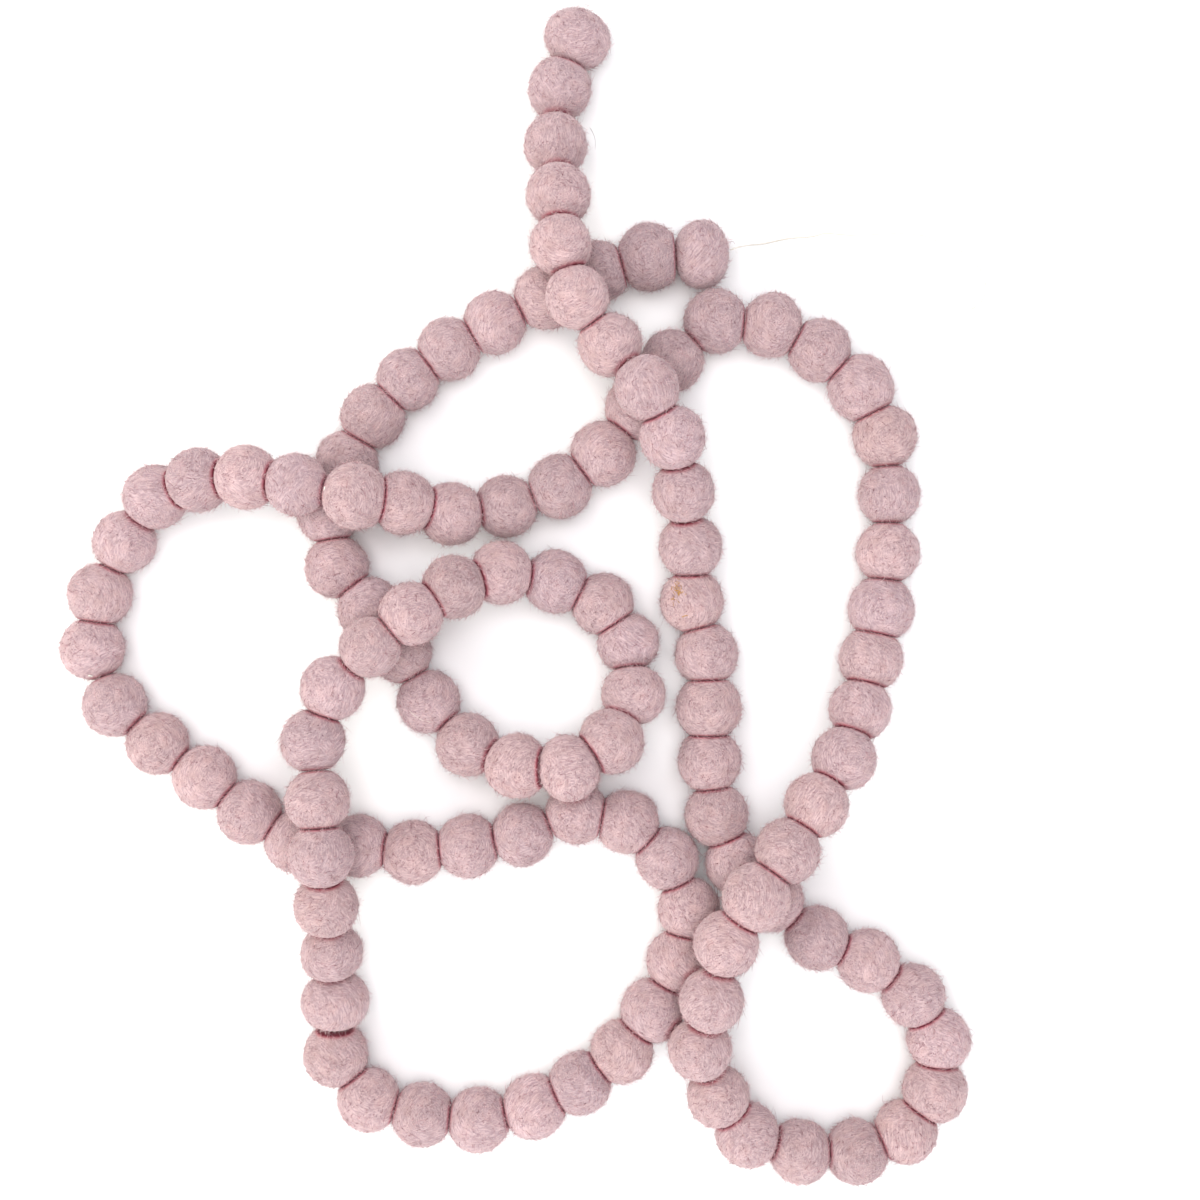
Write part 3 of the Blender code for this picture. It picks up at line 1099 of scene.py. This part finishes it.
class FibreKind(NamedTuple):
    """A kind of loose fibre, and how many of it a ball has."""

    count: int
    shortest_mm: float
    longest_mm: float
    steps: int
    width_mm: float
    least_lift: float  # how high the tip stands, as a share of the length
    most_lift: float
    stray: float  # how far, in radians, it turns off the ring that it was wound in
    bow: float  # how far, in radians, it bends sideways


FIBRES = (
    FibreKind(1200, 0.6, 3.0, 1, 0.13, 0.3, 0.95, 1.2, 0.0),
    FibreKind(90, 1.6, 4.6, 2, 0.1, 0.01, 0.06, 0.35, 0.3),
    FibreKind(26, 2.5, 6.0, 4, 0.08, 0.1, 0.6, 0.9, 0.8),
)


@dataclass
class Tubes:
    """Many thin three-sided tubes that end in a point, to be joined into one piece."""

    corners: int = 3
    taper: float = 0.6  # how much thinner a tube is just before its tip
    points: list[np.ndarray] = field(default_factory=list)
    faces: list[Face] = field(default_factory=list)
    slots: list[int] = field(default_factory=list)
    point_count: int = 0

    def add(self, spines: np.ndarray, sides: np.ndarray, widths: np.ndarray, slots: np.ndarray) -> None:
        """Add a tube along each of several short curves.

        Args:
            spines: The curves' points, by curve, step and axis.
            sides: For each curve a direction that isn't along it.
            widths: For each curve its width at the root.
            slots: For each curve the number of its material.
        """
        count, steps, _ = spines.shape
        ways = np.gradient(spines, axis=1)
        ways /= np.linalg.norm(ways, axis=2, keepdims=True)
        across = np.cross(ways, sides[:, None, :])
        across /= np.linalg.norm(across, axis=2, keepdims=True)
        up = np.cross(across, ways)
        narrowing = 1.0 - self.taper * np.linspace(0, 1, steps) ** 2
        rings = []
        for corner in range(self.corners):
            turn = 2 * math.pi * corner / self.corners
            spread = across * math.cos(turn) + up * math.sin(turn)
            rings.append(spines + spread * (widths[:, None, None] / 2 * narrowing[None, :, None]))
        body = np.stack([ring[:, :-1] for ring in rings], axis=2).reshape(count, -1, 3)
        self.points.append(np.concatenate([body, spines[:, -1:, :]], axis=1).reshape(-1, 3))
        shape = self.faces_of_one(steps)
        size = (steps - 1) * self.corners + 1
        for k in range(count):
            base = self.point_count + k * size
            self.faces.extend(tuple(base + corner for corner in face) for face in shape)
        self.slots.extend(int(slot) for slot in np.repeat(slots, len(shape)))
        self.point_count += count * size

    def faces_of_one(self, steps: int) -> list[Face]:
        """List the faces of one closed tube.

        Args:
            steps: How many points its curve has.

        Returns:
            Faces as point numbers.
        """
        n = self.corners
        tip = (steps - 1) * n
        faces: list[Face] = [tuple(reversed(range(n)))]
        for k in range(n):
            after = (k + 1) % n
            for low in range(0, tip - n, n):
                faces.append((low + k, low + after, low + n + after, low + n + k))
            faces.append((tip - n + k, tip - n + after, tip))
        return faces

    def triangles(self) -> int:
        """Count the triangles of all tubes."""
        return sum(len(face) - 2 for face in self.faces)

    def piece(self, name: str, materials: Iterable[Material]) -> Object:
        """Join all tubes into one object.

        Args:
            name: The piece's name.
            materials: Its materials, in the order of their numbers.

        Returns:
            The object.
        """
        mesh = bpy.data.meshes.new(name)
        mesh.from_pydata(np.concatenate(self.points).tolist(), [], self.faces)
        for material in materials:
            mesh.materials.append(material)
        mesh.polygons.foreach_set("material_index", self.slots)
        mesh.shade_smooth()
        return new_piece(name, mesh)


@dataclass
class FeltBalls:
    """All felt balls of the garland, each a piece of its own."""

    shape: BallShape = field(default_factory=BallShape)
    finish: WetFeltedWool = field(default_factory=WetFeltedWool)
    tone_spread: float = 0.02
    warmth_spread: float = 0.008
    lean_spread: float = math.radians(32.0)
    light_gain: float = 2.0
    green_share: float = 0.3  # how much of a tint's warmth goes to green

    def build(self, balls: Sequence[Ball]) -> None:
        """Build and dress every ball.

        Args:
            balls: The balls as they lie.
        """
        material = self.finish.material()
        for ball in balls:
            piece = self.build_ball(ball)
            piece.data.materials.append(material)
            piece.color = self.tint(ball.number)
            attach(piece, BODY)
            node = self.node_of(ball.number, len(balls))
            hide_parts(node)
        log.info("%d felt balls", len(balls))

    def build_ball(self, ball: Ball) -> Object:
        """Build one ball, turned so that the rings of its fibres lie round its own point near the top.

        Args:
            ball: The ball.

        Returns:
            The ball's object.
        """
        random = np.random.default_rng(TURN_SEED + ball.number)
        spin, lean_way = random.uniform(0, 2 * math.pi, size=2)
        lean_axis = Vector((math.cos(lean_way), math.sin(lean_way), 0.0))
        turn = Quaternion(lean_axis, random.normal(0, self.lean_spread)) @ Quaternion((0, 0, 1), spin)
        ways, faces = self.shape.directions(ball)
        reach, pressed = self.shape.distances(ball, ways)
        points = (ways * reach[:, None]) @ np.array(turn.to_matrix())
        mesh = bpy.data.meshes.new(f"felt_ball_{ball.number:03d}")
        mesh.from_pydata(points.tolist(), [], faces)
        # the share that sets the painted plum crease shade in the wool's colour
        mesh.attributes.new("pressed", "FLOAT", "POINT").data.foreach_set("value", pressed)
        mesh.shade_smooth()
        piece = new_piece(f"felt_ball_{ball.number:03d}", mesh)
        piece.location = ball.middle
        piece.rotation_mode = "QUATERNION"
        piece.rotation_quaternion = turn
        return piece

    def tint(self, number: int) -> tuple[float, float, float, float]:
        """Find a ball's own tint, as a factor on the wool's colour.

        Args:
            number: The ball's number.

        Returns:
            Red, green, blue and an alpha of 1.
        """
        random = np.random.default_rng(TINT_SEED + number)
        lighter, warmer = random.normal(0, self.tone_spread), random.normal(0, self.warmth_spread)
        for tone in TONES:
            if tone.ball == number:
                lighter, warmer = tone.lighter, tone.warmer
        light = 1.0 + self.light_gain * lighter
        green = light * (1 + self.green_share * warmer)
        return light * (1 + warmer), green, light * (1 - warmer), 1.0

    @staticmethod
    def node_of(number: int, count: int) -> str:
        """Name the solid that holds a ball: two share one, and the last has its own."""
        first = number - (number + 1) % 2
        return f"ball_{number:03d}" if first == count else f"balls_{first:03d}_{first + 1:03d}"

    @staticmethod
    def slot_of(node: str) -> str:
        """Find the record's material slot of a solid."""
        return next(s["material_slot"] for s in frame["record"]["subparts"] if s["node"] == node)


@dataclass
class Fuzz:
    """The loose fibres of all balls, joined into pieces of several balls each."""

    balls_per_piece: int = 23
    wools: tuple[Wool, ...] = (Wool.PALE, Wool.PINK, Wool.DEEP)
    shares: tuple[float, ...] = (0.5, 0.33, 0.17)
    root_depth: float = 0.08 * MM
    axes_per_ball: int = 2
    width_spread: tuple[float, float] = (0.7, 1.2)
    length_skew: float = 2.0  # the higher, the more of the fibres are short
    rise_power: float = 1.5  # the higher, the longer a fibre stays near the felt
    clear_of_press: float = 0.92
    above_table: float = 0.12  # no fibre starts lower than this share of half a ball's width

    def build(self, balls: Sequence[Ball], felt: BallShape) -> None:
        """Build and dress the fibres.

        Args:
            balls: The balls as they lie.
            felt: The form of the balls.
        """
        materials = [LooseFibre(wool).material() for wool in self.wools]
        for start in range(0, len(balls), self.balls_per_piece):
            members = balls[start : start + self.balls_per_piece]
            tubes = Tubes()
            for ball in members:
                self.add_fibres(ball, felt, tubes)
            name = f"fuzz_{members[0].number:03d}_{members[-1].number:03d}"
            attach(tubes.piece(name, materials), BODY)
            log.info("%s: %d triangles", name, tubes.triangles())

    def add_fibres(self, ball: Ball, felt: BallShape, tubes: Tubes) -> None:
        """Add one ball's fibres.

        Args:
            ball: The ball.
            felt: The form of the balls.
            tubes: What they are added to.
        """
        random = np.random.default_rng(FIBRE_SEED + ball.number)
        axes = random.normal(size=(self.axes_per_ball, 3))
        for kind in FIBRES:
            roots = random.normal(size=(kind.count * 2, 3))
            roots /= np.linalg.norm(roots, axis=1, keepdims=True)
            _, pressed = felt.distances(ball, roots)
            lowest = self.above_table - ball.middle.z / ball.half_width
            roots = roots[(pressed < self.clear_of_press) & (roots[:, 2] > lowest)][: kind.count]
            axis = axes[random.integers(0, len(axes), size=len(roots))]
            spines = self.spines(ball, felt, random, kind, roots, axis)
            widths = kind.width_mm * MM * random.uniform(*self.width_spread, size=len(roots))
            wools = random.choice(len(self.wools), size=len(roots), p=self.shares)
            tubes.add(spines, roots, widths, wools)

    def spines(
        self,
        ball: Ball,
        felt: BallShape,
        random: np.random.Generator,
        kind: FibreKind,
        roots: np.ndarray,
        axis: np.ndarray,
    ) -> np.ndarray:
        """Lay fibres along the rings that a ball was wound in.

        Args:
            ball: The ball.
            felt: The form of the balls.
            random: The source of chance.
            kind: The kind of fibre.
            roots: Directions from the ball's middle to where each starts.
            axis: For each the axis of its ring.

        Returns:
            The fibres' points, by fibre, step and axis.
        """
        count = (len(roots), 1)
        along = np.cross(axis, roots)
        along /= np.linalg.norm(along, axis=1, keepdims=True)
        turn = random.normal(0, kind.stray, size=count)
        heading = along * np.cos(turn) + np.cross(roots, along) * np.sin(turn)
        sideways = np.cross(roots, heading)
        skewed = random.uniform(size=count) ** self.length_skew
        length = (kind.shortest_mm + (kind.longest_mm - kind.shortest_mm) * skewed) * MM
        lift = random.uniform(kind.least_lift, kind.most_lift, size=count)
        bow = random.normal(0, kind.bow, size=count)
        points = []
        for share in np.linspace(0, 1, kind.steps + 1):
            angle = length * share / ball.half_width
            bowed = heading * np.cos(bow * share) + sideways * np.sin(bow * share)
            way = roots * np.cos(angle) + bowed * np.sin(angle)
            reach, _ = felt.distances(ball, way)
            height = length * lift * share**self.rise_power - self.root_depth * (1 - share)
            points.append(np.array(ball.middle) + way * (reach[:, None] + height))
        spines = np.stack(points, axis=1)
        spines[:, :, 2] = np.maximum(spines[:, :, 2], kind.width_mm * MM)
        return spines


@dataclass
class StrayHairs:
    """The few hairs and bits of thread that stand out in the photograph."""

    steps: int = 8
    above_felt: float = 0.15 * MM
    stained_ball: int = 12
    stain_hairs: int = 34
    stain_middle_mm: tuple[float, float] = (-5.2, 3.4)
    stain_spread_mm: tuple[float, float] = (0.9, 2.2)
    stain_length_mm: tuple[float, float] = (0.7, 1.9)
    stain_width_mm: tuple[float, float] = (0.13, 0.26)
    stain_bow_mm: float = 0.2

    def build(self, balls: Sequence[Ball]) -> None:
        """Build and dress the hairs.

        Args:
            balls: The balls as they lie.
        """
        wools = list(Wool)
        tubes = Tubes()
        for hair in (*HAIRS, *self.stain()):
            spine = np.array([self.spine(hair, balls[hair.ball - 1])])
            side = np.array([[0.0, 0.0, 1.0]])
            tubes.add(spine, side, np.array([hair.width_mm * MM]), np.array([wools.index(hair.wool)]))
        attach(tubes.piece("stray_hairs", [LooseFibre(wool).material() for wool in wools]), BODY)
        log.info("stray_hairs: %d triangles", tubes.triangles())

    def stain(self) -> list[Hair]:
        """Scatter the fine straw-coloured hairs that stain one ball.

        Returns:
            The hairs.
        """
        random = np.random.default_rng(self.stained_ball)
        hairs = []
        for _ in range(self.stain_hairs):
            right, up = random.normal(self.stain_middle_mm, self.stain_spread_mm)
            way = random.uniform(0, math.pi)
            length = random.uniform(*self.stain_length_mm)
            to_right, to_up = right + length * math.cos(way), up + length * math.sin(way)
            bow, width = random.normal(0, self.stain_bow_mm), random.uniform(*self.stain_width_mm)
            hairs.append(Hair(self.stained_ball, Wool.STRAW, right, up, to_right, to_up, bow, width))
        return hairs

    def spine(self, hair: Hair, ball: Ball) -> list[Vector]:
        """Lay one hair over its ball.

        Args:
            hair: The hair.
            ball: The ball.

        Returns:
            Its points.
        """
        start = Vector((hair.right_mm, hair.up_mm)) * MM
        end = Vector((hair.to_right_mm, hair.to_up_mm)) * MM
        across = (end - start).orthogonal().normalized() * hair.bow_mm * MM
        points = []
        for k in range(self.steps + 1):
            share = k / self.steps
            flat = start.lerp(end, share) + across * math.sin(math.pi * share)
            height = math.sqrt(max(ball.half_width**2 - flat.length_squared, 0.0)) + self.above_felt
            points.append(ball.middle + Vector((flat.x, flat.y, height)))
        return points


@dataclass
class ThreadTail:
    """The loose end of the thread: a few plies twisted together, along the part's own route."""

    finish: CottonThread = field(default_factory=CottonThread)
    width: float = 0.5 * MM
    plies: int = 3
    twist: float = 2.2 * MM
    step: float = 0.28 * MM
    ply_sides: int = 6
    fray_length: float = 4.0 * MM
    fray_spread: float = 0.45 * MM
    fray_thinning: float = 0.6
    ply_share: float = 0.98  # a ply's width, as a share of half the thread's
    path_step: float = 1.7 * MM

    def stops(self) -> list[Stop]:
        """List the route's points with how far along the thread each lies.

        Returns:
            The lengths and points.
        """
        route = [Vector((p.x_mm, p.y_mm, p.z_mm)) * MM + PICTURE_MIDDLE for p in THREAD_ROUTE]
        stops = [(0.0, route[0])]
        for point in route[1:]:
            stops.append((stops[-1][0] + (point - stops[-1][1]).length, point))
        return stops

    def build(self) -> None:
        stops = self.stops()
        whole = stops[-1][0]
        points, faces = [], []
        for ply in range(self.plies):
            base = len(points)
            rings = round(whole / self.step)
            for k in range(rings + 1):
                points.extend(self.ply_ring(stops, whole * k / rings, ply))
            faces.extend(self.ply_faces(base, rings))
        mesh = bpy.data.meshes.new("thread_tail_strands")
        mesh.from_pydata([tuple(p) for p in points], [], faces)
        mesh.shade_smooth()
        mesh.materials.append(self.finish.material())
        piece = new_piece("thread_tail_strands", mesh)
        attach(piece, BODY)
        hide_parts("thread_tail")

    def ply_ring(self, stops: Sequence[Stop], where: float, ply: int) -> list[Vector]:
        """Make one ring of points round a ply.

        Args:
            stops: The route.
            where: How far along it.
            ply: Which ply.

        Returns:
            The ring's points.
        """
        middle, whole = point_on(stops, where), stops[-1][0]
        near, far = max(where - self.step, 0.0), min(where + self.step, whole)
        way = (point_on(stops, far) - point_on(stops, near)).normalized()
        side = way.cross(Vector((0, 0, 1))).normalized()
        top = side.cross(way)
        turn = 2 * math.pi * (where / self.twist + ply / self.plies)
        fray = max(0.0, (where - (whole - self.fray_length)) / self.fray_length)
        ply_width = self.width / 2 * self.ply_share
        out = self.width / 2 - ply_width / 2 + self.fray_spread * fray**2
        centre = middle + (side * math.cos(turn) + top * math.sin(turn)) * out
        centre.z = max(centre.z, ply_width / 2)
        radius = ply_width / 2 * (1 - self.fray_thinning * fray)
        return [
            centre + (side * math.cos(angle) + top * math.sin(angle)) * radius
            for angle in (2 * math.pi * k / self.ply_sides for k in range(self.ply_sides))
        ]

    def ply_faces(self, base: int, rings: int) -> list[Face]:
        """List the faces of a ply's closed tube.

        Args:
            base: The number of its first point.
            rings: How many steps it has.

        Returns:
            Faces as point numbers.
        """
        n = self.ply_sides
        faces: list[Face] = [tuple(base + k for k in range(n))]
        for ring in range(rings):
            for k in range(n):
                a, b = base + ring * n + k, base + ring * n + (k + 1) % n
                faces.append((b, a, a + n, b + n))
        faces.append(tuple(base + rings * n + k for k in reversed(range(n))))
        return faces


class Lamp(NamedTuple):
    """A soft lamp: where it stands, how far off and how high, how large its face is, and its light."""

    side: Side
    away: float
    height: float
    width: float
    depth: float
    colour: str
    watts: float


@dataclass
class Studio:
    """The white table, the soft lamps round it and the camera above."""

    table_size: float = 4.0
    table_colour: str = "#F7F7F7"
    table_roughness: float = 0.9
    lamps: tuple[Lamp, ...] = (
        Lamp(Side.LEFT, 0.75, 0.42, 0.7, 0.35, "#FFFFF2", 3.2),
        Lamp(Side.BOTTOM, 0.75, 0.42, 0.7, 0.35, "#F8FFFF", 4.1),
        Lamp(Side.TOP_LEFT, 0.45, 0.8, 0.5, 0.5, "#FFFFFF", 1.9),
        Lamp(Side.TOP_RIGHT, 0.45, 0.8, 0.5, 0.5, "#E4F2FF", 1.3),
        Lamp(Side.OVERHEAD, 0.0, 0.9, 0.6, 0.6, "#FFFAFA", 4.3),
    )
    sky_colour: str = "#FFFFFF"
    sky_strength: float = 0.61
    lens_mm: float = 50.0
    sensor_mm: float = 36.0
    picture_width: float = 387.1 * MM  # what the photograph takes in, at the height of a ball's middle
    picture_height_at: float = 10.0 * MM
    nearest_seen: float = 50.0 * MM

    def build_camera(self) -> None:
        """Put the camera straight above the picture's middle."""
        data = bpy.data.cameras.new("camera")
        data.lens = self.lens_mm
        data.sensor_width = self.sensor_mm
        data.clip_start = self.nearest_seen
        camera = bpy.data.objects.new("camera", data)
        away = self.lens_mm / self.sensor_mm * self.picture_width
        camera.location = PICTURE_MIDDLE + Vector((0, 0, self.picture_height_at + away))
        bpy.context.scene.collection.objects.link(camera)
        bpy.context.scene.camera = camera
        log.info("camera %.0f mm above the table", camera.location.z / MM)

    def build_table(self) -> None:
        """Lay the white table."""
        half = self.table_size / 2
        corners = [(-half, -half, 0), (half, -half, 0), (half, half, 0), (-half, half, 0)]
        mesh = bpy.data.meshes.new("table")
        mesh.from_pydata(corners, [], [(0, 1, 2, 3)])
        colour = linear(self.table_colour)
        values = {"Base Color": colour, "Roughness": self.table_roughness, "Specular IOR Level": 0.0}
        material, _, _ = new_material("white seamless paper", values)
        mesh.materials.append(material)
        new_piece("table", mesh)

    def build_light(self) -> None:
        """Set the lamps round the table and a white sky over it."""
        for plan in self.lamps:
            light = bpy.data.lights.new(f"lamp {plan.side.name.lower()}", "AREA")
            light.shape = "RECTANGLE"
            light.size, light.size_y = plan.width, plan.depth
            light.energy = plan.watts
            light.color = linear(plan.colour)[:3]
            lamp = bpy.data.objects.new(light.name, light)
            way = Vector((*plan.side.value, 0.0))
            lamp.location = PICTURE_MIDDLE + way * plan.away + Vector((0, 0, plan.height))
            lamp.rotation_euler = (PICTURE_MIDDLE - lamp.location).to_track_quat("-Z", "Y").to_euler()
            bpy.context.scene.collection.objects.link(lamp)
        world = bpy.data.worlds.new("white room")
        world.use_nodes = True
        sky = world.node_tree.nodes["Background"]
        sky.inputs["Color"].default_value = linear(self.sky_colour)
        sky.inputs["Strength"].default_value = self.sky_strength
        bpy.context.scene.world = world
        bpy.context.scene.view_settings.view_transform = "Standard"


def main() -> None:
    """Build the camera, the thread, the balls, their fibres and the studio, in that order."""
    logging.basicConfig(level=logging.INFO, format="%(message)s")
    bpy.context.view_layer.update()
    studio = Studio()
    studio.build_camera()
    ThreadTail().build()
    balls = Layout().balls()
    felt = FeltBalls()
    felt.build(balls)
    Fuzz().build(balls, felt.shape)
    StrayHairs().build(balls)
    studio.build_table()
    studio.build_light()


if __name__ == "__main__":
    main()
